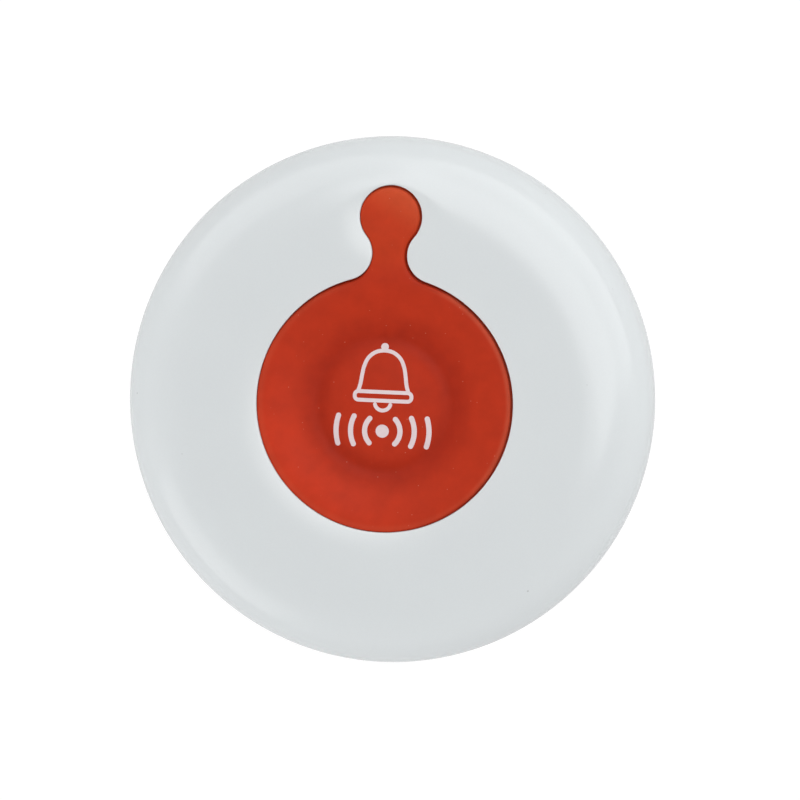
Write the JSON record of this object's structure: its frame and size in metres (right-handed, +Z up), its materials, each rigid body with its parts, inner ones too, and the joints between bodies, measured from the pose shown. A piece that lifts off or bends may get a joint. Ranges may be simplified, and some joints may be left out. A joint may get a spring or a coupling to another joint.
{
  "type": "wireless panic button",
  "caption": "Round wireless call and panic button: white domed housing, red silicone press key with indicator tab, coin cell behind a twist-off door, rubber feet",
  "frame": {"origin": "on the table, under the centre of the round housing", "axes": "+Z up out of the table, +Y from the press key towards the indicator tab, +X to the right"},
  "size_m": [0.06, 0.06, 0.0161],
  "materials": {
    "white_abs": "moulded white ABS, semi-gloss",
    "red_silicone": "moulded red silicone, matt",
    "black_plastic": "moulded black plastic",
    "steel": "plated steel",
    "dark_rubber": "moulded rubber",
    "board_resist": "green solder resist over glass laminate",
    "chip_epoxy": "moulded epoxy with tinned leads",
    "capacitor_ceramic": "fired ceramic",
    "tin": "tinned",
    "enamelled_copper": "enamelled copper wire",
    "nickel_plate": "nickel-plated spring steel",
    "clear_acrylic": "clear moulded acrylic",
    "led_plastic": "white reflector body with a clear lens"
  },
  "bodies": {
    "housing": {"top_cover": "white_abs", "bottom_cover": "white_abs", "silicone_neck": "red_silicone", "silicone_web": "red_silicone", "silicone_frame": "red_silicone", "key_retainer": "black_plastic", "retainer_screw_1": "steel", "retainer_screw_2": "steel", "retainer_screw_3": "steel", "retainer_screw_4": "steel", "case_screw_1": "steel", "case_screw_2": "steel", "case_screw_3": "steel", "case_screw_4": "steel", "board_screw_1": "steel", "board_screw_2": "steel", "board_screw_3": "steel", "circuit_board": "board_resist", "switch_base": "black_plastic", "switch_dome": "steel", "switch_cover": "steel", "switch_terminal_1": "steel", "switch_terminal_2": "steel", "switch_terminal_3": "steel", "switch_terminal_4": "steel", "indicator_led": "led_plastic", "light_pipe": "clear_acrylic", "microcontroller": "chip_epoxy", "rf_transistor": "chip_epoxy", "saw_resonator": "steel", "reservoir_capacitor": "capacitor_ceramic", "led_resistor": "tin", "antenna_coil": "enamelled_copper", "coin_cell": "steel", "battery_positive_contact": "nickel_plate", "battery_negative_contact": "nickel_plate", "housing_seal": "dark_rubber", "rubber_foot_1": "dark_rubber", "rubber_foot_2": "dark_rubber", "rubber_foot_3": "dark_rubber", "rubber_foot_4": "dark_rubber"},
    "key": {"silicone_key": "red_silicone"},
    "plunger": {"switch_plunger": "black_plastic"},
    "door": {"battery_door": "white_abs", "battery_door_seal": "dark_rubber"}
  },
  "joints": [
    {"name": "key_press", "type": "slide", "parent": "housing", "child": "key", "axis": [0, 0, -1], "range_m": [0, 0.0007], "stiffness_N_per_m": 2500, "deforming": ["silicone_web", "silicone_neck"]},
    {"name": "switch_travel", "type": "slide", "parent": "housing", "child": "plunger", "axis": [0, 0, -1], "range_m": [0, 0.00035], "deforming": ["switch_dome"]},
    {"name": "battery_door_twist", "type": "hinge", "parent": "housing", "child": "door", "pos_m": [0, 0, 0.0008], "axis": [0, 0, -1], "range_deg": [0, 45]}
  ],
  "couplings": [
    {"joint": "switch_travel", "follows": "key_press", "ratio": 0.5}
  ]
}
